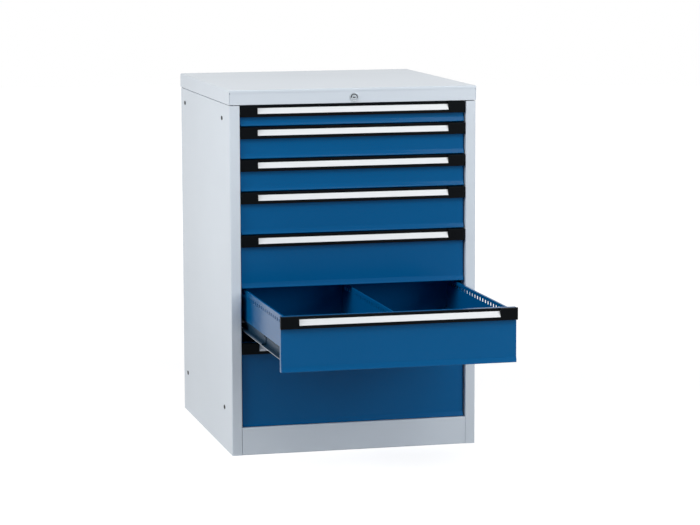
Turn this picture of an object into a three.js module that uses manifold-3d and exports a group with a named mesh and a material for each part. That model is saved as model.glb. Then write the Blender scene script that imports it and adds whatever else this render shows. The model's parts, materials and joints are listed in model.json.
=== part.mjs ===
// Drawer cabinet of folded sheet steel, with seven drawers on telescopic slides and a central lock
// Millimetres, +Z up, the drawers open towards -Y
// The origin is on the floor, at the middle of the cabinet's footprint

import * as THREE from 'three';
import { mergeVertices } from 'three/addons/utils/BufferGeometryUtils.js';
import Module from 'manifold-3d';

const wasm = await Module();
wasm.setup();

// Overall sizes
const cabinetWidth = 705;
const cabinetDepth = 736;
const cabinetHeight = 1019;
const plinthHeight = 78;
const coverBandHeight = 41;

// Drawer front heights from the top down, as shares of the opening
const drawerUnits = [2, 3, 3, 4, 5, 5, 8];

// The drawer that stands open, counted from the top, and how far
const openDrawerNumber = 6;
const openDistance = 500;

// Clearances shared by every piece
const fitGap = 0.3;
const overrun = 4;

// Folded body sheet
const bodySheet = 1.5;
const bendRadius = 3;
const bendSteps = 3;
const stileWidth = 29;
const stileDepth = 40;
const stileLip = 11;
const rearFlange = 20;
const topFlange = 26;
const topFlangeSetback = 48;
const panFlange = 25;
const backFlange = 15;
const backFloorGap = 1;
const plinthLip = 12;

// Joining holes in the side walls
const joinHoleRadius = 5;
const joinHoleFront = 108;
const joinHoleRear = 66;
const joinHoleLow = 119;
const joinHoleTop = 84;

// Cover
const coverOverhang = 1;
const coverSeam = 2;
const coverLipHeight = 8;
const coverLipDepth = 1;
const coverEdgeRadius = 3;
const coverReturn = 12;
const coverReliefRadius = 1.8;
const coverSlit = 0.4;

// Cross rails under the cover
const topRailDepth = 28;
const topRailEndGap = 1;
const frontRailSetback = 37;
const rearRailSetback = 118;

// Drawer fronts
const frontSheet = 1.2;
const frontRecess = 12;
const frontDepth = 15;
const frontSideGap = 3;
const frontBottomGap = 1;
const frontTopGap = 2;
const frontEdgeRadius = 4;
const kickHeight = 16;
const kickForward = 6;
const frontLipWidth = 30;
const frontLipHeight = 12;

// Grip moulding with its end caps, and the label strip in it
const gripHeight = 32;
const gripLipHeight = 8;
const gripLipWall = 3;
const gripRailHeight = 7.5;
const gripRailWall = 4.4;
const gripSeatStep = 1.2;
const gripWebWall = 2.6;
const gripBackHeight = 11;
const gripEdge = 0.8;
const capLength = 49;
const capOverhang = 2;
const capRadius = 5;
const capTopRadius = 2.5;
const labelThickness = 0.9;
const labelMargin = 0.9;

// Drawer trays
const traySheet = 1;
const trayRearSpace = 99.7;
const trayFloorHeight = 20;
const ledgeWidth = 9;
const rimGap = 6;
const hemWidth = 7;
const hemHeight = 8;
const wallBandHeight = 25;
const wallBandWidth = 1;
const lowDrawerUnits = 2;
const lowDrawerShiftHeight = 15;

// Slots for partitions under the rim of a tray
const slotLength = 10;
const slotHeight = 9;
const slotPitchLength = 25;
const slotRimGap = 12;
const slotEndGap = 22;

// Telescopic slides: the drawer rail holds the middle rail, and that holds the cabinet rail
const runnerSpace = 24.5;
const railSheet = 1.5;
const slideFloorGap = 8.5;
const slideHeight = 29.5;
const slideSetback = 5;
const drawerRailDepth = 15.5;
const drawerRailTopDepth = 8.5;
const middleWebGap = 0.5;
const middleTipGap = 0.5;
const beadHeight = 2.4;
const beadWidth = 4;
const cabinetRailReach = 4.2;
const cabinetRailWebGap = 1.5;
const cabinetRailSetback = 42;
const cabinetRailRearGap = 4.3;

// Uprights that carry the cabinet rails
const uprightWidth = 40;
const uprightFoot = 60;
const uprightHeadGap = 16;
const frontUprightSetback = 45;
const rearUprightGap = 1;
const bracketInset = 7;

// Divider plate in the open drawer
const dividerSheet = 1;
const dividerRimGap = 3;
const dividerHem = 4;
const dividerHemHeight = 8;
const dividerOffset = -4;

// Lock in the cover's front
const lockTopGap = 26;
const lockFlangeRadius = 12.5;
const lockFlangeThickness = 2;
const lockBarrelRadius = 9.5;
const lockBarrelLength = 26;
const lockNutRadius = 12.5;
const lockNutThickness = 4;
const plugRadius = 7;
const plugTail = 4;
const keySlotWidth = 7.5;
const keySlotHeight = 2.6;
const keySlotDepth = 7;

// Rod and crank that lift the locking bar
const rodRadius = 3;
const crankRadius = 8;
const crankThickness = 4;
const crankPinRadius = 2.5;
const crankPinPlay = 2;
const crankTail = 4;

// Locking bar, its guides, and the catches on the trays
const barWidth = 30;
const barThickness = 3;
const barStandOff = 22;
const barFoot = 30;
const barHead = 7;
const guideWall = 2;
const guideHeight = 24;
const guideLip = 5;
const guideRise = 8;
const catchWidth = 20;
const catchReach = 16;
const catchSheet = 2;
const catchLip = 10;
const catchTopGap = 8;
const hookClearance = 2;
const hookFinger = 8;
const hookSetback = 4;
const hookWidth = 16;

// Colours, with roughness and metalness
const finishes = {
  bodyPaint: { color: 0xccd4de, roughness: 0.45, metalness: 0 },
  frontPaint: { color: 0x0e5f94, roughness: 0.4, metalness: 0 },
  gripPlastic: { color: 0x15181b, roughness: 0.35, metalness: 0 },
  labelWhite: { color: 0xe4e8eb, roughness: 0.5, metalness: 0 },
  zincSteel: { color: 0xa9afb4, roughness: 0.35, metalness: 1 },
  lockChrome: { color: 0xc9ccd0, roughness: 0.2, metalness: 1 },
};

// Places worked out from the sizes
const coverBottom = cabinetHeight - coverBandHeight;
const openingHeight = coverBottom - plinthHeight;
const unitHeight = openingHeight / drawerUnits.reduce((sum, units) => sum + units, 0);
const sideTop = coverBottom - coverSeam;
const coverHalf = cabinetWidth / 2;
const coverFront = -cabinetDepth / 2;
const coverFace = coverFront + coverLipDepth;
const bodyHalf = coverHalf - coverOverhang;
const bodyFront = coverFront + coverOverhang;
const bodyRear = -bodyFront;
const innerHalf = bodyHalf - bodySheet;
const openingHalf = bodyHalf - stileWidth;
const panelFace = bodyFront + frontRecess;
const panelBack = panelFace + frontDepth;
const frontHalf = openingHalf - frontSideGap;
const capHalf = frontHalf + capOverhang;
const trayHalf = openingHalf - runnerSpace;
const trayFront = panelBack + fitGap;
const trayBack = bodyRear - trayRearSpace;
const wallHalf = trayHalf + ledgeWidth;
const cabinetRailFront = bodyFront + cabinetRailSetback;
const cabinetRailBack = trayBack - cabinetRailRearGap;
const lockHeight = cabinetHeight - lockTopGap;
const backPanelBack = bodyRear - bodySheet - fitGap;
const backPanelFront = backPanelBack - bodySheet;
const barFront = trayBack + barStandOff;
const barBack = barFront + barThickness;
const crankBack = barFront - fitGap;
const crankLift = crankRadius;

// A pen line with its corners rounded by the given radii
function roundedPath(points, radii) {
  const path = [];
  points.forEach((point, i) => {
    if (!radii[i]) {
      path.push(point.clone());
      return;
    }
    const back = points[(i + points.length - 1) % points.length].clone().sub(point).normalize();
    const ahead = points[(i + 1) % points.length].clone().sub(point).normalize();
    const half = Math.acos(THREE.MathUtils.clamp(back.dot(ahead), -1, 1)) / 2;
    const centre = back.clone().add(ahead).normalize().multiplyScalar(radii[i] / Math.sin(half)).add(point);
    const reach = radii[i] / Math.tan(half);
    const start = back.clone().multiplyScalar(reach).add(point).sub(centre);
    const end = ahead.clone().multiplyScalar(reach).add(point).sub(centre);
    const sweep = Math.atan2(start.cross(end), start.dot(end));
    for (let step = 0; step <= bendSteps; step += 1) {
      const origin = new THREE.Vector2();
      path.push(start.clone().rotateAround(origin, sweep * step / bendSteps).add(centre));
    }
  });
  return path;
}

// The outline of a sheet whose outer face follows the corners, with its thickness on the right-hand side
// A negative thickness puts it on the left-hand side, for a mirrored path
function sheetOutline(corners, thickness, radius) {
  const outer = corners.map(([x, y]) => new THREE.Vector2(x, y));
  const normals = outer.slice(1).map((point, i) => {
    const along = point.clone().sub(outer[i]).normalize();
    return new THREE.Vector2(along.y, -along.x);
  });
  const inner = outer.map((point, i) => {
    const before = normals[Math.max(i - 1, 0)];
    const after = normals[Math.min(i, normals.length - 1)];
    const shift = before.clone().add(after).multiplyScalar(thickness / (1 + before.dot(after)));
    return point.clone().add(shift);
  });
  const isEnd = (i) => i === 0 || i === corners.length - 1;
  const outerRadii = corners.map((_, i) => (isEnd(i) ? 0 : radius));
  const innerRadii = corners.map((_, i) => (isEnd(i) ? 0 : radius - Math.abs(thickness)));
  return [...roundedPath(outer, outerRadii), ...roundedPath(inner, innerRadii).reverse()];
}

// A closed outline from corner points and one radius for each corner
function outline(corners, radii = []) {
  const points = corners.map(([x, y]) => new THREE.Vector2(x, y));
  return roundedPath(points, points.map((_, i) => radii[i] ?? 0));
}

function toSolid(geometry) {
  geometry.deleteAttribute('normal');
  geometry.deleteAttribute('uv');
  const merged = mergeVertices(geometry);
  return new wasm.Manifold(new wasm.Mesh({
    numProp: 3,
    vertProperties: merged.attributes.position.array,
    triVerts: new Uint32Array(merged.index.array),
  }));
}

function toGeometry(solid) {
  const mesh = solid.getMesh();
  const geometry = new THREE.BufferGeometry();
  geometry.setAttribute('position', new THREE.BufferAttribute(mesh.vertProperties, mesh.numProp));
  geometry.setIndex(new THREE.BufferAttribute(mesh.triVerts, 1));
  const flat = geometry.toNonIndexed();
  flat.computeVertexNormals();
  return flat;
}

const axisX = new THREE.Vector3(1, 0, 0);
const axisY = new THREE.Vector3(0, 1, 0);
const axisZ = new THREE.Vector3(0, 0, 1);
const profileAlongX = new THREE.Matrix4().makeBasis(axisY, axisZ, axisX);
const profileAlongY = new THREE.Matrix4().makeBasis(axisX, axisZ, axisY.clone().negate());

function extruded(points, length) {
  return new THREE.ExtrudeGeometry(new THREE.Shape(points), { depth: length, bevelEnabled: false });
}

// An outline drawn in y and z, carried from one x to another
function alongX(points, x0, x1) {
  return toSolid(extruded(points, x1 - x0).applyMatrix4(profileAlongX).translate(x0, 0, 0));
}

// An outline drawn in x and z, carried from one y to another
function alongY(points, y0, y1) {
  return toSolid(extruded(points, y1 - y0).applyMatrix4(profileAlongY).translate(0, y1, 0));
}

// An outline drawn in x and y, carried from one z to another
function alongZ(points, z0, z1) {
  return toSolid(extruded(points, z1 - z0).translate(0, 0, z0));
}

function block(x0, x1, y0, y1, z0, z1) {
  const geometry = new THREE.BoxGeometry(Math.abs(x1 - x0), Math.abs(y1 - y0), Math.abs(z1 - z0));
  return toSolid(geometry.translate((x0 + x1) / 2, (y0 + y1) / 2, (z0 + z1) / 2));
}

// A round bar along y
function barAlongY(radius, y0, y1, x, z, sides) {
  const geometry = new THREE.CylinderGeometry(radius, radius, y1 - y0, sides);
  return toSolid(geometry.translate(x, (y0 + y1) / 2, z));
}

// A round bar along x
function barAlongX(radius, x0, x1, y, z, sides) {
  const geometry = new THREE.CylinderGeometry(radius, radius, Math.abs(x1 - x0), sides);
  geometry.rotateZ(Math.PI / 2);
  return toSolid(geometry.translate((x0 + x1) / 2, y, z));
}

function join(...solids) {
  return solids.reduce((whole, solid) => whole.add(solid));
}

function cut(solid, ...tools) {
  return tools.reduce((rest, tool) => rest.subtract(tool), solid);
}

function mirrored(path, side) {
  return path.map(([x, y]) => [side * x, y]);
}

function piece(name, solid, finish) {
  const mesh = new THREE.Mesh(toGeometry(solid), new THREE.MeshStandardMaterial(finish));
  mesh.name = name;
  return mesh;
}

// Side wall with its box-shaped stile in front, a flange behind and a seat flange on top
function sideShell(side) {
  const path = [
    [bodyHalf - rearFlange, bodyRear],
    [bodyHalf, bodyRear],
    [bodyHalf, bodyFront],
    [openingHalf, bodyFront],
    [openingHalf, bodyFront + stileDepth],
    [openingHalf + stileLip, bodyFront + stileDepth],
  ];
  const wall = alongZ(sheetOutline(mirrored(path, side), side * bodySheet, bendRadius), 0, sideTop);
  const seat = block(
    side * (bodyHalf - topFlange), side * (bodyHalf - bodySheet / 2),
    bodyFront + topFlangeSetback, bodyRear - topFlangeSetback,
    sideTop - bodySheet, sideTop,
  );
  const holes = [];
  for (const y of [bodyFront + joinHoleFront, bodyRear - joinHoleRear]) {
    for (const z of [joinHoleLow, cabinetHeight - joinHoleTop]) {
      const outside = side * (bodyHalf + overrun);
      const inside = side * (innerHalf - overrun);
      holes.push(barAlongX(joinHoleRadius, outside, inside, y, z, 16));
    }
  }
  return cut(join(wall, seat), ...holes);
}

// Front panel of the base, flush with the stiles
function plinth() {
  const back = bodyFront + stileDepth;
  const path = [
    [back, 0],
    [bodyFront, 0],
    [bodyFront, plinthHeight],
    [back, plinthHeight],
    [back, plinthHeight - plinthLip],
  ];
  return alongX(sheetOutline(path, bodySheet, bendRadius), -openingHalf, openingHalf);
}

// Bottom panel with flanges folded up at the sides and behind
function bottomPanel() {
  const half = innerHalf - fitGap;
  const front = bodyFront + stileDepth + fitGap;
  const rear = backPanelFront - fitGap;
  const pan = block(-half, half, front, rear, 0, panFlange);
  const room = block(
    -half + bodySheet, half - bodySheet, front - overrun, rear - bodySheet, bodySheet, panFlange + overrun,
  );
  return cut(pan, room);
}

// Guide round the locking bar, reaching forward from the back panel
function barGuide(z) {
  const inside = barWidth / 2 + fitGap;
  const outside = inside + guideWall;
  const lipFront = barFront - fitGap - guideWall;
  const top = z + guideHeight;
  const parts = [block(-outside, outside, barBack + fitGap, barBack + fitGap + guideWall, z, top)];
  for (const side of [-1, 1]) {
    parts.push(block(side * inside, side * outside, lipFront, backPanelFront + bodySheet / 2, z, top));
    parts.push(block(side * (inside - guideLip), side * outside, lipFront, lipFront + guideWall, z, top));
  }
  return join(...parts);
}

// Back panel with a stiffening flange on top and the guides for the locking bar
function backPanel(guideHeights) {
  const top = sideTop - bodySheet - fitGap;
  const path = [
    [backPanelBack - backFlange, top],
    [backPanelBack, top],
    [backPanelBack, backFloorGap],
  ];
  const half = bodyHalf - bendRadius - fitGap;
  const sheet = alongX(sheetOutline(path, bodySheet, bendRadius), -half, half);
  return join(sheet, ...guideHeights.map((z) => barGuide(z)));
}

// The space inside the cover's outer skin, or that skin itself when the inset is zero
function coverVolume(inset) {
  const low = coverBottom + inset;
  const high = cabinetHeight - inset;
  const lip = cabinetHeight - coverLipHeight + inset;
  const front = coverFront + inset;
  const face = coverFace + inset;
  const half = coverHalf - inset;
  const edge = coverEdgeRadius - inset;
  const sideView = outline(
    [[face, low], [-front, low], [-front, high], [front, high], [front, lip], [face, lip]],
    [0, 0, edge, edge],
  );
  const frontView = outline([[-half, low], [half, low], [half, high], [-half, high]], [0, 0, edge, edge]);
  return alongX(sideView, -half, half).intersect(alongY(frontView, front, -front));
}

// Cover folded from one sheet: a lip along its front, relief holes and open seams at the front corners
function cover() {
  const inside = coverBottom + bodySheet + overrun;
  const windowHalf = coverHalf - bodySheet - coverReturn;
  const windowFront = coverFace + bodySheet + coverReturn;
  const window = block(
    -windowHalf, windowHalf, windowFront, -windowFront, coverBottom - overrun, inside,
  );
  const lockHole = barAlongY(
    lockBarrelRadius + fitGap, coverFront - overrun, coverFace + bodySheet + overrun, 0, lockHeight, 24,
  );
  const reliefHeight = cabinetHeight - coverLipHeight - coverReliefRadius;
  const reliefs = [];
  for (const side of [-1, 1]) {
    const corner = side * (coverHalf - bodySheet);
    const back = coverFace + bodySheet + fitGap;
    reliefs.push(barAlongY(coverReliefRadius, coverFront - overrun, back, corner, reliefHeight, 8));
    reliefs.push(block(
      corner, corner - side * coverSlit, coverFront - overrun, back, coverBottom - overrun, reliefHeight,
    ));
  }
  return cut(coverVolume(0), coverVolume(bodySheet), window, lockHole, ...reliefs);
}

// Channel that lies on the side walls' seat flanges and carries the cover's top
function topRail(front) {
  const low = sideTop + fitGap;
  const high = cabinetHeight - bodySheet - fitGap;
  const back = front + topRailDepth;
  const path = [[back, low], [front, low], [front, high], [back, high]];
  const half = coverHalf - bodySheet - coverReturn - topRailEndGap;
  const channel = alongX(sheetOutline(path, bodySheet, bendRadius), -half, half);
  const rodHole = barAlongY(rodRadius + fitGap, front - overrun, front + overrun, 0, lockHeight, 16);
  return cut(channel, rodHole);
}

// Where the slide of a drawer starts above the drawer's own pitch line
function trayBottom(units) {
  return units > lowDrawerUnits ? trayFloorHeight : trayFloorHeight - lowDrawerShiftHeight;
}

function slideBottom(units) {
  return trayBottom(units) + slideFloorGap;
}

function slideTop(units) {
  return slideBottom(units) + slideHeight;
}

// Cabinet rail, a channel open towards the drawer, in heights above the slide's bottom edge
function cabinetRail(side, base) {
  const low = base + railSheet + fitGap + beadHeight + railSheet + fitGap;
  const high = base + slideHeight - (low - base);
  const back = trayHalf + drawerRailDepth + cabinetRailWebGap + railSheet;
  const lowTip = trayHalf + drawerRailDepth - cabinetRailReach;
  const highTip = trayHalf + drawerRailTopDepth - cabinetRailReach;
  const path = [[lowTip, low], [back, low], [back, high], [highTip, high]];
  const profile = sheetOutline(mirrored(path, side), -side * railSheet, railSheet + fitGap);
  return alongY(profile, cabinetRailFront, cabinetRailBack);
}

// Block that ties a cabinet rail to an upright
function railBracket(side, base, uprightFront) {
  const low = base + railSheet + fitGap + beadHeight + railSheet + fitGap;
  const high = base + slideHeight - (low - base);
  const inside = trayHalf + drawerRailDepth + cabinetRailWebGap + railSheet / 2;
  return block(
    side * inside, side * (openingHalf + bodySheet / 2),
    uprightFront + bracketInset, uprightFront + uprightWidth - bracketInset,
    low, high,
  );
}

// Upright channel standing against the side wall
function upright(side, front) {
  const wall = innerHalf - fitGap;
  const back = front + uprightWidth;
  const path = [[wall, front], [openingHalf, front], [openingHalf, back], [wall, back]];
  const top = sideTop - uprightHeadGap;
  return alongZ(sheetOutline(mirrored(path, side), side * bodySheet, bendRadius), uprightFoot, top);
}

// Two uprights of one side with a cabinet rail for every drawer
function runnerFrame(side, drawers) {
  const uprightFronts = [
    bodyFront + frontUprightSetback,
    cabinetRailBack - rearUprightGap - uprightWidth,
  ];
  const parts = uprightFronts.map((front) => upright(side, front));
  for (const { units, base } of drawers) {
    const slideBase = base + slideBottom(units);
    parts.push(cabinetRail(side, slideBase));
    uprightFronts.forEach((front) => parts.push(railBracket(side, slideBase, front)));
  }
  return join(...parts);
}

// Middle rail, a channel with a race bead under and over its flanges
function middleRail(side, units) {
  const base = slideBottom(units);
  const web = trayHalf + railSheet + middleWebGap;
  const beadLow = base + railSheet + fitGap;
  const flangeLow = beadLow + beadHeight;
  const middle = base + slideHeight / 2;
  const half = (tip) => [
    [web, flangeLow],
    [tip - beadWidth, flangeLow],
    [tip - beadWidth, beadLow],
    [tip, beadLow],
    [tip, flangeLow + railSheet],
    [web + railSheet, flangeLow + railSheet],
  ];
  const lower = half(trayHalf + drawerRailDepth - middleTipGap);
  const upper = half(trayHalf + drawerRailTopDepth - middleTipGap).map(([x, z]) => [x, 2 * middle - z]);
  const profile = mirrored([...lower, ...upper.reverse()], side);
  return alongY(outline(profile), trayFront + slideSetback, trayBack - slideSetback);
}

// Drawer rail, a channel on the outside of the tray's wall
function drawerRail(side, units) {
  const low = slideBottom(units);
  const high = low + slideHeight;
  const wall = trayHalf - traySheet / 2;
  const lowTip = trayHalf + drawerRailDepth;
  const highTip = trayHalf + drawerRailTopDepth;
  const profile = [
    [wall, low],
    [lowTip, low],
    [lowTip, low + railSheet],
    [trayHalf + railSheet, low + railSheet],
    [trayHalf + railSheet, high - railSheet],
    [highTip, high - railSheet],
    [highTip, high],
    [wall, high],
  ];
  return alongY(outline(mirrored(profile, side)), trayFront, trayBack);
}

// A high side wall has a band along its top, pressed outwards
function hasBand(units) {
  return units * unitHeight - rimGap - wallBandHeight > slideTop(units) + ledgeWidth;
}

function rimHalf(units) {
  return hasBand(units) ? wallHalf + wallBandWidth : wallHalf;
}

// Hem folded inwards and down along the top of a side wall
function rimHem(side, units) {
  const rim = units * unitHeight - rimGap;
  const outside = rimHalf(units);
  const inside = outside - hemWidth;
  const path = [[inside, rim - hemHeight], [inside, rim], [outside, rim], [outside, rim - hemHeight]];
  const radius = traySheet + fitGap;
  return alongY(sheetOutline(mirrored(path, side), side * traySheet, radius), trayFront, trayBack);
}

// Cross-section of a tray, with side walls that step outwards over the slides
function trayProfile(units, inset, top) {
  const low = trayBottom(units) + inset;
  const ledge = slideTop(units) + inset;
  const narrow = trayHalf - inset;
  const wide = wallHalf - inset;
  const right = [[narrow, low], [narrow, ledge], [wide, ledge]];
  if (hasBand(units)) {
    const band = units * unitHeight - rimGap - wallBandHeight;
    right.push([wide, band], [wide + wallBandWidth, band + wallBandWidth]);
  }
  right.push([rimHalf(units) - inset, top]);
  return outline([...right, ...mirrored(right, -1).reverse()]);
}

// Cutters for a row of slots through an upright sheet that runs from front to back
function slotRow(left, right, units, endGap) {
  const room = trayBack - trayFront - 2 * endGap - slotLength;
  const count = Math.floor(room / slotPitchLength) + 1;
  const start = (trayFront + trayBack - (count - 1) * slotPitchLength - slotLength) / 2;
  const high = units * unitHeight - rimGap - slotRimGap;
  return Array.from({ length: count }, (_, i) => {
    const y = start + i * slotPitchLength;
    return block(left, right, y, y + slotLength, high - slotHeight, high);
  });
}

// Catch behind a tray, with a lip that points down
function lockCatch(rim) {
  const half = catchWidth / 2;
  const top = rim - catchTopGap;
  const end = trayBack + catchReach;
  return join(
    block(-half, half, trayBack - traySheet / 2, end, top - catchSheet, top),
    block(-half, half, end - catchSheet, end, top - catchSheet - catchLip, top),
  );
}

// Drawer tray with its rails, rim and catch
function tray(units) {
  const rim = units * unitHeight - rimGap;
  const wallTop = rim - hemHeight / 2;
  const shell = cut(
    alongY(trayProfile(units, 0, wallTop), trayFront, trayBack),
    alongY(trayProfile(units, traySheet, rim + overrun), trayFront + traySheet, trayBack - traySheet),
  );
  const parts = [lockCatch(rim)];
  for (const side of [-1, 1]) {
    parts.push(drawerRail(side, units), rimHem(side, units));
  }
  const whole = join(shell, ...parts);
  const hasSlots = rim - slotRimGap - slotHeight > slideTop(units) + traySheet;
  if (!hasSlots) return whole;
  const cutters = [-1, 1].map((side) => {
    const inside = wallHalf - traySheet - overrun / 2;
    return slotRow(side * inside, side * (rimHalf(units) + overrun / 2), units, slotEndGap);
  });
  return cut(whole, ...cutters.flat());
}

// The space inside a drawer front, or its outer skin when the inset is zero
function frontVolume(units, inset) {
  const low = frontBottomGap + inset;
  const high = units * unitHeight - frontTopGap - inset;
  const face = panelFace + inset;
  const back = panelBack - inset;
  const half = frontHalf - inset;
  const radius = frontEdgeRadius - inset;
  const kick = face - kickForward;
  const sideView = outline(
    [[back, low], [kick, low], [face, low + kickHeight], [face, high], [back, high]],
    [0, frontSheet, 0, radius, 0],
  );
  const topView = outline(
    [[-half, back], [-half, kick], [half, kick], [half, back]],
    [0, radius, radius, 0],
  );
  return alongX(sideView, -half, half).intersect(alongZ(topView, low, high));
}

// Drawer front, folded to a shallow pan with lips that the tray is screwed to
function drawerFront(units) {
  const high = units * unitHeight - frontTopGap;
  const half = frontHalf - frontLipWidth;
  const window = block(
    -half, half, panelBack - frontSheet - overrun, panelBack + overrun,
    frontBottomGap + frontLipHeight, high - frontLipHeight,
  );
  return cut(frontVolume(units, 0), frontVolume(units, frontSheet), window);
}

// The line that the label lies on, from its lower end to its upper end, back from the stiles and up
function labelSeat() {
  const depth = frontRecess - fitGap;
  return {
    low: new THREE.Vector2(gripSeatStep, gripLipHeight),
    high: new THREE.Vector2(depth - gripRailWall + gripSeatStep, gripHeight - gripRailHeight),
  };
}

// Places a grip profile given as distances back from the stiles and up from the grip's lower edge
function gripPlaced(points, units) {
  const low = units * unitHeight - frontTopGap - gripHeight;
  return points.map(([back, up]) => [bodyFront + back, low + up]);
}

// Grip moulding: a hooked lip under an inclined label seat, with a block cap at each end
function grip(units) {
  const depth = frontRecess - fitGap;
  const { low, high } = labelSeat();
  const lean = (high.x - low.x) / (high.y - low.y);
  const backLow = gripHeight - gripBackHeight;
  const webBack = (up) => low.x + (up - low.y) * lean + gripWebWall;
  const hookTop = low.y + (gripLipWall - gripWebWall - low.x) / lean;
  const strip = [
    [gripLipWall, 0],
    [0, 0],
    [0, low.y],
    [low.x, low.y],
    [high.x, high.y],
    [high.x - gripSeatStep, high.y],
    [high.x - gripSeatStep, gripHeight],
    [depth, gripHeight],
    [depth, backLow],
    [webBack(backLow), backLow],
    [gripLipWall, hookTop],
  ];
  const stripRadii = strip.map(() => 0);
  stripRadii[1] = gripEdge;
  stripRadii[6] = gripEdge;
  const cap = [[depth, 0], [0, 0], [0, gripHeight], [depth, gripHeight]];
  const inner = capHalf - capLength;
  const parts = [alongX(outline(gripPlaced(strip, units), stripRadii), -inner - overrun, inner + overrun)];
  for (const side of [-1, 1]) {
    const ends = [side * inner, side * capHalf].sort((a, b) => a - b);
    parts.push(alongX(outline(gripPlaced(cap, units), [0, gripEdge, capTopRadius, 0]), ...ends));
  }
  const top = units * unitHeight - frontTopGap;
  const topView = outline(
    [[-capHalf, panelBack], [-capHalf, bodyFront], [capHalf, bodyFront], [capHalf, panelBack]],
    [0, capRadius, capRadius, 0],
  );
  return join(...parts).intersect(alongZ(topView, top - gripHeight, top));
}

// Label strip lying in the grip's inclined seat
function label(units) {
  const { low, high } = labelSeat();
  const along = high.clone().sub(low).normalize();
  const outward = new THREE.Vector2(-along.y, along.x);
  const start = low.clone().addScaledVector(along, fitGap).addScaledVector(outward, fitGap);
  const end = high.clone().addScaledVector(along, -labelMargin).addScaledVector(outward, fitGap);
  const corners = [
    start,
    end,
    end.clone().addScaledVector(outward, labelThickness),
    start.clone().addScaledVector(outward, labelThickness),
  ].map((point) => [point.x, point.y]);
  const half = capHalf - capLength - fitGap;
  return alongX(outline(gripPlaced(corners, units)), -half, half);
}

// Divider plate with a folded top edge and a row of slots, standing in a tray from front to back
function divider(units) {
  const floor = trayBottom(units) + traySheet + fitGap;
  const top = units * unitHeight - rimGap - dividerRimGap;
  const path = [
    [dividerOffset, floor],
    [dividerOffset, top],
    [dividerOffset + dividerHem, top],
    [dividerOffset + dividerHem, top - dividerHemHeight],
  ];
  const front = trayFront + traySheet + fitGap;
  const back = trayBack - traySheet - fitGap;
  const plate = alongY(sheetOutline(path, dividerSheet, dividerSheet + fitGap), front, back);
  // The divider's slots stand between those of the walls
  const endGap = slotEndGap + slotPitchLength / 2;
  return cut(plate, ...slotRow(dividerOffset - overrun, dividerOffset + overrun, units, endGap));
}

// Lock barrel with its flange in front of the cover and its nut behind
function lockBody() {
  const flangeBack = coverFace - fitGap;
  const barrelBack = coverFace + lockBarrelLength;
  const nutFront = coverFace + bodySheet + fitGap;
  const bore = plugRadius + fitGap;
  return cut(
    join(
      barAlongY(lockFlangeRadius, flangeBack - lockFlangeThickness, flangeBack, 0, lockHeight, 32),
      barAlongY(lockBarrelRadius, flangeBack - overrun / 8, barrelBack, 0, lockHeight, 32),
      barAlongY(lockNutRadius, nutFront, nutFront + lockNutThickness, 0, lockHeight, 6),
    ),
    barAlongY(bore, flangeBack - lockFlangeThickness - overrun, barrelBack + overrun, 0, lockHeight, 32),
  );
}

// Lock plug with an upright key slot
function lockPlug() {
  const face = coverFace - fitGap - lockFlangeThickness;
  const back = coverFace + lockBarrelLength + plugTail;
  return cut(
    barAlongY(plugRadius, face, back, 0, lockHeight, 24),
    block(
      -keySlotWidth / 2, keySlotWidth / 2, face - overrun, face + keySlotDepth,
      lockHeight - keySlotHeight / 2, lockHeight + keySlotHeight / 2,
    ),
  );
}

// Rod that turns with the plug, and the crank at its rear end
function lockRod() {
  const front = coverFace + lockBarrelLength + plugTail + fitGap;
  const armFront = crankBack - crankThickness;
  return join(
    barAlongY(rodRadius, front, crankBack - crankThickness / 2, 0, lockHeight, 12),
    block(
      -crankRadius - crankTail, crankTail, armFront, crankBack,
      lockHeight - crankTail, lockHeight + crankTail,
    ),
    barAlongY(crankPinRadius, armFront + crankThickness / 2, barBack + fitGap, -crankRadius, lockHeight, 12),
  );
}

// Hook on the locking bar, below the lip of a closed drawer's catch
function lockHook(rim) {
  const half = hookWidth / 2;
  const fingerTop = rim - catchTopGap - catchSheet - catchLip - hookClearance;
  const fingerLow = fingerTop - hookFinger;
  const lipFront = trayBack + catchReach - catchSheet;
  const fingerBack = lipFront - hookSetback;
  return join(
    block(-half, half, fingerBack - catchSheet, fingerBack, fingerLow - catchSheet, fingerTop),
    block(-half, half, fingerBack - catchSheet, barFront + barThickness / 2, fingerLow - catchSheet, fingerLow),
  );
}

// Locking bar with a hook for every drawer and a slot for the crank pin
function lockingBar(drawers) {
  const half = barWidth / 2;
  const slotHalf = crankPinRadius + crankPinPlay;
  const plate = block(
    -half, half, barFront, barBack, plinthHeight + barFoot, lockHeight + slotHalf + barHead,
  );
  const slot = block(
    -crankRadius - slotHalf, slotHalf, barFront - overrun, barBack + overrun,
    lockHeight - slotHalf, lockHeight + slotHalf,
  );
  const hooks = drawers.map(({ units, base }) => lockHook(base + units * unitHeight - rimGap));
  return cut(join(plate, ...hooks), slot);
}

// Every drawer's number, height and pitch line, from the top down
const drawers = [];
let pitchLine = coverBottom;
drawerUnits.forEach((units, index) => {
  pitchLine -= units * unitHeight;
  drawers.push({ number: index + 1, units, base: pitchLine });
});

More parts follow.
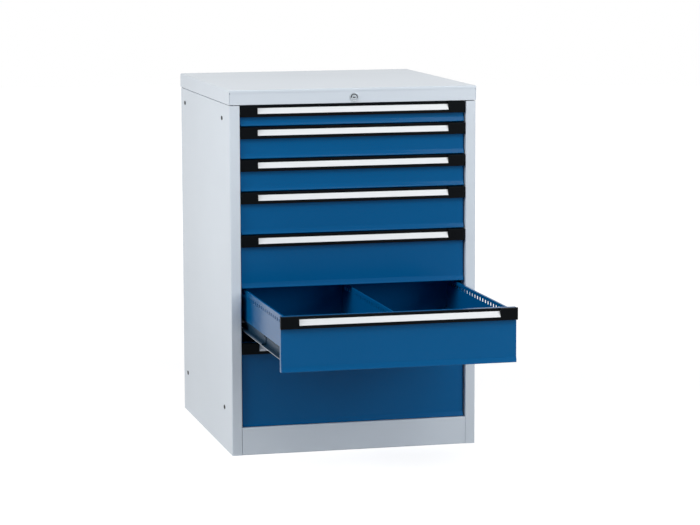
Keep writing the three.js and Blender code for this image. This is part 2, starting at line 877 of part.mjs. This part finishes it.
const carcass = new THREE.Group();
const lowGuide = drawers[drawers.length - 1].base + barFoot + guideRise;
const highGuide = drawers[1].base + guideRise;
carcass.add(
  piece('side_left', sideShell(-1), finishes.bodyPaint),
  piece('side_right', sideShell(1), finishes.bodyPaint),
  piece('plinth', plinth(), finishes.bodyPaint),
  piece('bottom_panel', bottomPanel(), finishes.bodyPaint),
  piece('back_panel', backPanel([lowGuide, highGuide]), finishes.bodyPaint),
  piece('cover', cover(), finishes.bodyPaint),
  piece('top_rail_front', topRail(bodyFront + frontRailSetback), finishes.bodyPaint),
  piece('top_rail_rear', topRail(bodyRear - rearRailSetback), finishes.bodyPaint),
  piece('runners_left', runnerFrame(-1, drawers), finishes.zincSteel),
  piece('runners_right', runnerFrame(1, drawers), finishes.zincSteel),
  piece('lock_body', lockBody(), finishes.lockChrome),
  piece('lock_plug', lockPlug(), finishes.lockChrome),
  piece('lock_rod', lockRod(), finishes.zincSteel),
  piece('locking_bar', lockingBar(drawers), finishes.zincSteel),
);

const cabinet = new THREE.Group();
cabinet.add(carcass);
for (const { number, units, base } of drawers) {
  const open = number === openDrawerNumber ? openDistance : 0;
  const drawer = new THREE.Group();
  drawer.position.set(0, -open, base);
  drawer.add(
    piece(`front_${number}`, drawerFront(units), finishes.frontPaint),
    piece(`grip_${number}`, grip(units), finishes.gripPlastic),
    piece(`label_${number}`, label(units), finishes.labelWhite),
    piece(`tray_${number}`, tray(units), finishes.frontPaint),
  );
  if (open) {
    drawer.add(piece('divider', divider(units), finishes.frontPaint));
  }
  const middleRails = new THREE.Group();
  middleRails.position.set(0, -open / 2, base);
  middleRails.add(
    piece(`slide_left_${number}`, middleRail(-1, units), finishes.zincSteel),
    piece(`slide_right_${number}`, middleRail(1, units), finishes.zincSteel),
  );
  cabinet.add(drawer, middleRails);
}

export default cabinet;
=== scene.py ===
# Drawer cabinet: finishes, dressed pieces, camera and studio

import json
import math

import bmesh
import bpy
from mathutils import Matrix, Vector

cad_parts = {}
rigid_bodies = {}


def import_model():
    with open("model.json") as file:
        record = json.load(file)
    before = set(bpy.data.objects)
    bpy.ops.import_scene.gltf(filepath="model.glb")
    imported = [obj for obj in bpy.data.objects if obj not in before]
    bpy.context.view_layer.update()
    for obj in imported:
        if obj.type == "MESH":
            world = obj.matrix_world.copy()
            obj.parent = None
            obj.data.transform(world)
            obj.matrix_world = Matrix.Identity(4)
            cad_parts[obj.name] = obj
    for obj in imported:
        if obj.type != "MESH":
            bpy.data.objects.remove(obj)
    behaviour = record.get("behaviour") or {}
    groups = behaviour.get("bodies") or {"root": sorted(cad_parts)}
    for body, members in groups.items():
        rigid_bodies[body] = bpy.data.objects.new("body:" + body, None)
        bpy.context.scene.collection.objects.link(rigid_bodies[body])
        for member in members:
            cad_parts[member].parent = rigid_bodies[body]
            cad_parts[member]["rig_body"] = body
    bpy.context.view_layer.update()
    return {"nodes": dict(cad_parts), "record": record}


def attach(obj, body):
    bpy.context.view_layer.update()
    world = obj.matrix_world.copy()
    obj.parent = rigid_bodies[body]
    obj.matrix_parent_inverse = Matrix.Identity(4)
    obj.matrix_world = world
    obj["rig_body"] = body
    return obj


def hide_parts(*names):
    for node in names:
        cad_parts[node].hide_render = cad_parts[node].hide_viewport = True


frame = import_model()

nodes = frame["nodes"]
slots = {entry["node"]: entry["material_slot"] for entry in frame["record"]["subparts"]}

# Drawers and the drawer rails on their trays, from the top
drawer_count = 7
tray_half = 0.298
slide_height = 0.0295
flange_height = 0.0015
slide_bases = (0.9315, 0.8565, 0.7665, 0.6465, 0.4965, 0.3465, 0.1065)
rail_gap = 0.0003
rail_tolerance = 0.0002
sideways = 0.9

# Plugs of the joining holes
side_face = 0.3515
plug_places = tuple((y, z) for y in (-0.259, 0.302) for z in (0.119, 0.935))
plug_radius = 0.0062
plug_stretch = 1.75
plug_thickness = 0.0009
plug_stem = 0.0047
plug_depth = 0.004
plug_taper = 0.8
plug_shoulder = 0.85
plug_steps = 24

# Lock: painted shade in a dark arc along its flange's upper seam and down its keyway
seam_inner = 0.0078
seam_outer = 0.0102
seam_foot = -0.002
keyway_shade = 0.0006

# Camera, from the corners of the cabinet
image_width = 700
sensor_width = 36
focal_pixels = 2663.2
camera_place = (-1.7863, -7.5055, 1.5505)
camera_yaw = 0.2435
camera_pitch = 0.1376
camera_roll = -0.00308
camera_reach = 200

# Cleaning and shading of the CAD faces
weld_distance = 0.00001
flat_angle = math.radians(0.8)
corner_angle = math.radians(50)
crease_angle = math.radians(38)
face_weight = 50

# Softened edges of each kind of piece: width and segments
edge_widths = {
    "front": (0.0011, 3),
    "grip": (0.0006, 2),
    "label": (0.0002, 1),
    "lock": (0.0004, 2),
    "cover": (0.0003, 1),
}

# Patterns of the finishes, as cycles per metre
paint_cloud = 2.2
paint_peel = 430.0
paint_grain = 2100.0
paint_wiping = (3.0, 3.0, 26.0)
plastic_grain = 1900.0
plastic_cloud = 14.0
card_fibre = 900.0
card_cloud = 9.0
zinc_streaks = (900.0, 4.0, 900.0)
zinc_bloom = 38.0
chrome_rubbing = 160.0
floor_mottling = 1.5

# Studio: each panel's name, place, target, size and power
world_strength = 0.15
world_tint = (0.93, 0.96, 1.0, 1)
white = (1, 1, 1, 1)
floor_radius = 14
floor_steps = 96
floor_tone = 0.5
floor_contrast = 0.02
floor_glow = 0.72
floor_near = 1.2
floor_far = 4.5
light_panels = (
    ("left_high", (-3.4, -1.2, 2.4), (0, 0, 0.6), (2.2, 2.2), 98),
    ("front_high", (-1.4, -3.2, 3.2), (0, -0.3, 0.6), (2.0, 1.4), 14),
    ("right", (2.8, -4.2, 1.8), (0, -0.3, 0.6), (1.6, 2.0), 85),
    ("right_high", (1.6, -3.0, 3.2), (0, -0.3, 0.6), (2.0, 1.4), 43),
    ("top", (0.2, 0.0, 3.8), (0, 0, 1.0), (2.4, 2.4), 6),
    ("back", (2.2, 3.0, 4.2), (0, 0.3, 0.3), (2.4, 2.4), 32),
)


def make_camera():
    data = bpy.data.cameras.new("camera")
    data.sensor_width = sensor_width
    data.lens = focal_pixels * sensor_width / image_width
    data.clip_end = camera_reach
    camera = bpy.data.objects.new("camera", data)
    bpy.context.scene.collection.objects.link(camera)
    turn = Matrix.Rotation(-camera_yaw, 4, "Z")
    tip = Matrix.Rotation(math.pi / 2 - camera_pitch, 4, "X")
    roll = Matrix.Rotation(camera_roll, 4, "Z")
    camera.matrix_world = Matrix.Translation(camera_place) @ turn @ tip @ roll
    bpy.context.scene.camera = camera


class Socket:
    """An output of a node, used in sums, products and comparisons."""

    def __init__(self, sheet, socket):
        self.sheet = sheet
        self.socket = socket

    def maths(self, operation, first, second):
        return self.sheet.node("ShaderNodeMath", {"operation": operation}, first, second)

    def __add__(self, other):
        return self.maths("ADD", self, other)

    def __radd__(self, other):
        return self.maths("ADD", other, self)

    def __sub__(self, other):
        return self.maths("SUBTRACT", self, other)

    def __rsub__(self, other):
        return self.maths("SUBTRACT", other, self)

    def __mul__(self, other):
        return self.maths("MULTIPLY", self, other)

    def __rmul__(self, other):
        return self.maths("MULTIPLY", other, self)

    def __truediv__(self, other):
        return self.maths("DIVIDE", self, other)

    def __rtruediv__(self, other):
        return self.maths("DIVIDE", other, self)

    def __pow__(self, other):
        return self.maths("POWER", self, other)

    def __gt__(self, other):
        return self.maths("GREATER_THAN", self, other)

    def __lt__(self, other):
        return self.maths("LESS_THAN", self, other)


class NodeSheet:
    """The nodes of one material or of the world."""

    def __init__(self, tree):
        self.tree = tree

    def node(self, kind, settings, *values, output=0, **named):
        made = self.tree.nodes.new(kind)
        for key, value in settings.items():
            if key == "stops":
                self.set_stops(made.color_ramp, value)
            else:
                setattr(made, key, value)
        for index, value in enumerate(values):
            self.feed(value, made.inputs[index])
        for key, value in named.items():
            self.feed(value, made.inputs[key.replace("_", " ")])
        return Socket(self, made.outputs[output])

    def set_stops(self, ramp, stops):
        for position, level in stops[2:]:
            ramp.elements.new(position)
        for element, (position, level) in zip(ramp.elements, sorted(stops)):
            element.position = position
            element.color = (level, level, level, 1)

    def feed(self, value, target):
        """Links a socket to an input, or writes a plain value there."""
        if isinstance(value, Socket):
            self.tree.links.new(value.socket, target)
        else:
            target.default_value = value


class Finish(NodeSheet):
    """One material of the cabinet, with patterns in object coordinates."""

    def __init__(self, name):
        self.material = bpy.data.materials.new(name)
        self.material.use_nodes = True
        super().__init__(self.material.node_tree)
        self.surface = self.tree.nodes["Principled BSDF"]
        self.place = self.node("ShaderNodeTexCoord", {}, output="Object")

    def stretched(self, scale):
        return self.node("ShaderNodeMapping", {}, Vector=self.place, Scale=scale)

    def noise(self, scale, detail, vector=None):
        return self.node(
            "ShaderNodeTexNoise", {}, Vector=vector or self.place, Scale=scale, Detail=detail
        )

    def ramp(self, factor, *stops):
        return self.node("ShaderNodeValToRGB", {"stops": stops}, factor)

    def blend(self, factor, low, high):
        made = self.tree.nodes.new("ShaderNodeMix")
        made.data_type = "RGBA"
        for index, value in ((0, factor), (6, low), (7, high)):
            self.feed(value, made.inputs[index])
        return Socket(self, made.outputs[2])

    def bump(self, height, strength, distance):
        return self.node(
            "ShaderNodeBump", {}, Strength=strength, Distance=distance, Height=height
        )

    def complete(self, **sockets):
        for key, value in sockets.items():
            self.feed(value, self.surface.inputs[key.replace("_", " ")])
        return self.material


def seen(red, green, blue):
    """A colour written as it looks on a screen, 0 to 255."""
    parts = [value / 255 for value in (red, green, blue)]
    return tuple(
        part / 12.92 if part <= 0.04045 else ((part + 0.055) / 1.055) ** 2.4 for part in parts
    ) + (1.0,)


def powder_paint(name, dark, light, roughness, sheen, coat):
    """Baked powder paint: fine orange peel, a little cloudiness and faint wiping marks."""
    paint = Finish(name)
    cloud = paint.ramp(paint.noise(paint_cloud, 3.0), (0.3, 0), (0.7, 1))
    peel = paint.noise(paint_peel, 1.5)
    grain = paint.noise(paint_grain, 1.0)
    wiped = paint.noise(1.0, 3.0, paint.stretched(paint_wiping))
    return paint.complete(
        Base_Color=paint.blend(cloud, dark, light),
        Roughness=roughness + peel * 0.05 + wiped * 0.05,
        Normal=paint.bump(peel + grain * 0.25, 0.10, 0.0004),
        Specular_IOR_Level=sheen,
        Coat_Weight=coat,
        Coat_Roughness=0.10,
    )


def moulded_plastic(name, dark, light):
    """Satin black moulding with a fine eroded grain."""
    plastic = Finish(name)
    grain = plastic.noise(plastic_grain, 2.0)
    cloud = plastic.noise(plastic_cloud, 2.0)
    return plastic.complete(
        Base_Color=plastic.blend(cloud, dark, light),
        Roughness=0.36 + grain * 0.14,
        Normal=plastic.bump(grain, 0.22, 0.0002),
        Specular_IOR_Level=0.04,
    )


def card_strip(name, dark, light):
    """White card behind a thin clear film."""
    card = Finish(name)
    fibre = card.noise(card_fibre, 3.0)
    cloud = card.noise(card_cloud, 2.0)
    return card.complete(
        Base_Color=card.blend(cloud, dark, light),
        Roughness=0.38 + fibre * 0.1,
        Normal=card.bump(fibre, 0.08, 0.0001),
        Specular_IOR_Level=0.3,
        Coat_Weight=0.2,
        Coat_Roughness=0.12,
    )


def zinc_plate(name, dark, light, metal=1.0, sheen=0.5):
    """Rolled zinc-plated steel, streaked along its length."""
    zinc = Finish(name)
    streaks = zinc.noise(1.0, 3.0, zinc.stretched(zinc_streaks))
    bloom = zinc.noise(zinc_bloom, 3.0)
    return zinc.complete(
        Base_Color=zinc.blend(bloom * 0.45 + streaks * 0.55, dark, light),
        Metallic=metal,
        Specular_IOR_Level=sheen,
        Roughness=0.24 + streaks * 0.18 + bloom * 0.08,
        Normal=zinc.bump(streaks, 0.25, 0.0002),
    )


def front_centre(node):
    """The middle of a solid's foremost face."""
    places = [vert.co for vert in nodes[node].data.vertices]
    across = [place.x for place in places]
    heights = [place.z for place in places]
    return (
        (min(across) + max(across)) / 2,
        min(place.y for place in places),
        (min(heights) + max(heights)) / 2,
    )


def polished_chrome(name, dark, light, painted_shade):
    """Chrome with faint rubbing marks, and painted shade in the keyway and along the flange's
    upper seam.
    """
    chrome = Finish(name)
    rub = chrome.noise(chrome_rubbing, 4.0)
    away = chrome.node(
        "ShaderNodeVectorMath", {"operation": "SUBTRACT"}, chrome.place, front_centre("lock_plug")
    )
    along, depth, up = (
        chrome.node("ShaderNodeSeparateXYZ", {}, away, output=axis) for axis in "XYZ"
    )
    radius = (along * along + up * up) ** 0.5
    # Painted shade: the seam's upper arc stands for a dark reflection, and the keyway for the
    # shade inside it
    seam_shade = (radius > seam_inner) * (radius < seam_outer) * (up > seam_foot)
    keyway_shade_mask = (radius < seam_inner) * (depth > keyway_shade)
    painted_shade_mask = chrome.node("ShaderNodeClamp", {}, seam_shade + keyway_shade_mask)
    return chrome.complete(
        Base_Color=chrome.blend(painted_shade_mask, chrome.blend(rub, dark, light), painted_shade),
        Metallic=1.0,
        Roughness=0.14 + rub * 0.12,
        Normal=chrome.bump(rub, 0.05, 0.0001),
    )


finishes = {
    "body_paint": powder_paint(
        "light_grey_paint", seen(206, 215, 224), seen(211, 220, 229),
        roughness=0.30, sheen=0.36, coat=0.1,
    ),
    "front_paint": powder_paint(
        "blue_paint", seen(0, 85, 138), seen(2, 89, 144),
        roughness=0.12, sheen=0.08, coat=0.0,
    ),
    "grip_plastic": moulded_plastic("black_plastic", seen(5, 8, 11), seen(8, 11, 14)),
    "label": card_strip("white_card", seen(222, 226, 229), seen(229, 232, 234)),
    "zinc": zinc_plate("bright_zinc", seen(140, 146, 152), seen(192, 197, 202)),
    # The lock's darkest colour is painted shade, laid in its seam and keyway
    "lock_chrome": polished_chrome(
        "lock_chrome", seen(150, 158, 165), seen(196, 203, 209), painted_shade=seen(34, 38, 42),
    ),
    # Painted shade: the rails' steel takes the dark blue-grey they show in the shade under the
    # tray's ledge
    "slide_steel": zinc_plate(
        "rail_steel_painted_shade", seen(16, 40, 58), seen(30, 62, 86), metal=0.1, sheen=0.06,
    ),
}


def placed(bm, name, body, slot):
    """Makes a piece of the cabinet that rides on a body."""
    mesh = bpy.data.meshes.new(name)
    bm.to_mesh(mesh)
    bm.free()
    mesh.shade_smooth()
    mesh.set_sharp_from_angle(angle=crease_angle)
    mesh.materials.append(finishes[slot])
    piece = bpy.data.objects.new(name, mesh)
    bpy.context.scene.collection.objects.link(piece)
    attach(piece, body)
    weighted = piece.modifiers.new("flat_faces", "WEIGHTED_NORMAL")
    weighted.keep_sharp = True
    weighted.weight = face_weight
    return piece


def merged_copy(node):
    """The CAD solid as clean flat faces."""
    bm = bmesh.new()
    bm.from_mesh(nodes[node].data)
    bmesh.ops.remove_doubles(bm, verts=bm.verts, dist=weld_distance)
    bmesh.ops.dissolve_limit(bm, angle_limit=flat_angle, verts=bm.verts, edges=bm.edges)
    return bm


def soften_edges(bm, width, segments):
    corners = [
        edge for edge in bm.edges
        if len(edge.link_faces) == 2 and edge.calc_face_angle() > corner_angle
    ]
    bmesh.ops.bevel(
        bm, geom=corners, offset=width, offset_type="OFFSET", affect="EDGES",
        segments=segments, profile=0.5, material=-1, clamp_overlap=True,
    )


def finished(node):
    """A CAD solid with softened edges and true shading."""
    bm = merged_copy(node)
    kind = node.split("_")[0]
    if kind in edge_widths:
        soften_edges(bm, *edge_widths[kind])
    piece = placed(bm, node + "_finished", nodes[node]["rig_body"], slots[node])
    # Slides take the rail steel that is darkened to painted shade
    if kind == "slide":
        piece.data.materials[0] = finishes["slide_steel"]
    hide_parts(node)


def rail_finish(face, low):
    """0 for the tray's paint, 1 for the drawer rail in steel darkened to painted shade, 2 for the
    bare edge of its lower flange.
    """
    centre = face.calc_center_median()
    height = centre.z - low
    beside = abs(centre.x) >= tray_half + rail_gap
    level = -rail_tolerance < height < slide_height - rail_tolerance
    if not (beside and level):
        return 0
    return 2 if height < flange_height and abs(face.normal.x) > sideways else 1


def finished_tray(number):
    """A blue tray whose drawer rails are plated steel, darkened to painted shade except for the
    bright edge of the lower flange.
    """
    node = f"tray_{number}"
    bm = merged_copy(node)
    for face in bm.faces:
        face.material_index = rail_finish(face, slide_bases[number - 1])
    piece = placed(bm, node + "_finished", nodes[node]["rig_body"], slots[node])
    piece.data.materials.append(finishes["slide_steel"])
    piece.data.materials.append(finishes["zinc"])
    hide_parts(node)


def hole_plug(name, side, y, z):
    """A domed plug with a stem, pressed into a joining hole."""
    profile = (
        (-plug_depth, 0),
        (-plug_depth, plug_stem * plug_taper),
        (0, plug_stem),
        (0, plug_radius),
        (plug_thickness / 2, plug_radius),
        (plug_thickness * plug_shoulder, plug_radius * plug_taper),
        (plug_thickness, 0),
    )
    bm = bmesh.new()
    ring = [bm.verts.new((along, across, 0)) for along, across in profile]
    edges = [bm.edges.new(pair) for pair in zip(ring, ring[1:])]
    bmesh.ops.spin(
        bm, geom=ring + edges, cent=(0, 0, 0), axis=(1, 0, 0), angle=math.tau,
        steps=plug_steps, use_merge=True, use_duplicate=False,
    )
    bmesh.ops.remove_doubles(bm, verts=bm.verts, dist=0.000001)
    flange = [
        vert for vert in bm.verts
        if vert.co.x > -0.0001 and vert.co.yz.length > plug_stem * 1.01
    ]
    bmesh.ops.scale(bm, vec=(1, plug_stretch, 1), verts=flange)
    bmesh.ops.scale(bm, vec=(side, 1, 1), verts=bm.verts)
    bmesh.ops.translate(bm, vec=(side * side_face, y, z), verts=bm.verts)
    bmesh.ops.recalc_face_normals(bm, faces=bm.faces)
    placed(bm, name, nodes["side_left"]["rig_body"], "grip_plastic")


def light_panel(name, place, target, size, power):
    data = bpy.data.lights.new(name, "AREA")
    data.shape = "RECTANGLE"
    data.size, data.size_y = size
    data.energy = power
    lamp = bpy.data.objects.new(name, data)
    bpy.context.scene.collection.objects.link(lamp)
    lamp.location = place
    lamp.rotation_euler = (Vector(target) - Vector(place)).to_track_quat("-Z", "Y").to_euler()


def looked_at(sheet):
    """1 for rays that see the background or the floor, straight or in a reflection."""
    camera, glossy, through = (
        sheet.node("ShaderNodeLightPath", {}, output=name)
        for name in ("Is Camera Ray", "Is Glossy Ray", "Is Transmission Ray")
    )
    return sheet.node("ShaderNodeClamp", {}, camera + glossy + through)


def make_world():
    """Soft light on the cabinet, and plain white wherever the background is looked at."""
    world = bpy.data.worlds.new("studio")
    bpy.context.scene.world = world
    world.use_nodes = True
    sheet = NodeSheet(world.node_tree)
    soft = sheet.node("ShaderNodeBackground", {}, world_tint, world_strength)
    bright = sheet.node("ShaderNodeBackground", {}, white, 1.0)
    both = sheet.node("ShaderNodeMixShader", {}, looked_at(sheet), soft, bright)
    sheet.feed(both, world.node_tree.nodes["World Output"].inputs["Surface"])


def grey(level):
    return (level, level, level, 1)


def make_floor():
    """A pale floor that fades into the white background."""
    bm = bmesh.new()
    bmesh.ops.create_circle(bm, cap_ends=True, radius=floor_radius, segments=floor_steps)
    mesh = bpy.data.meshes.new("floor")
    bm.to_mesh(mesh)
    bm.free()
    floor = bpy.data.objects.new("floor", mesh)
    bpy.context.scene.collection.objects.link(floor)
    ground = Finish("pale_floor")
    tone = ground.noise(floor_mottling, 2.0)
    mesh.materials.append(ground.complete(
        Base_Color=ground.blend(tone, grey(floor_tone), grey(floor_tone + floor_contrast)),
        Roughness=0.9,
        Specular_IOR_Level=0.1,
    ))
    distance = ground.node(
        "ShaderNodeVectorMath", {"operation": "LENGTH"}, ground.place, output="Value"
    )
    far = ground.node("ShaderNodeClamp", {}, (distance - floor_near) / (floor_far - floor_near))
    level = floor_glow + (1 - floor_glow) * far
    glow = ground.node("ShaderNodeEmission", {}, white, looked_at(ground) * level)
    surface = Socket(ground, ground.surface.outputs[0])
    both = ground.node("ShaderNodeAddShader", {}, surface, glow)
    ground.feed(both, ground.tree.nodes["Material Output"].inputs["Surface"])


make_camera()
bpy.context.scene.view_settings.view_transform = "Standard"
make_world()
make_floor()
for panel in light_panels:
    light_panel(*panel)

for node in nodes:
    if not node.startswith("tray_"):
        finished(node)
for number in range(1, drawer_count + 1):
    finished_tray(number)
for name, side in (("left", -1), ("right", 1)):
    for number, (y, z) in enumerate(plug_places, 1):
        hole_plug(f"hole_plug_{name}_{number}", side, y, z)
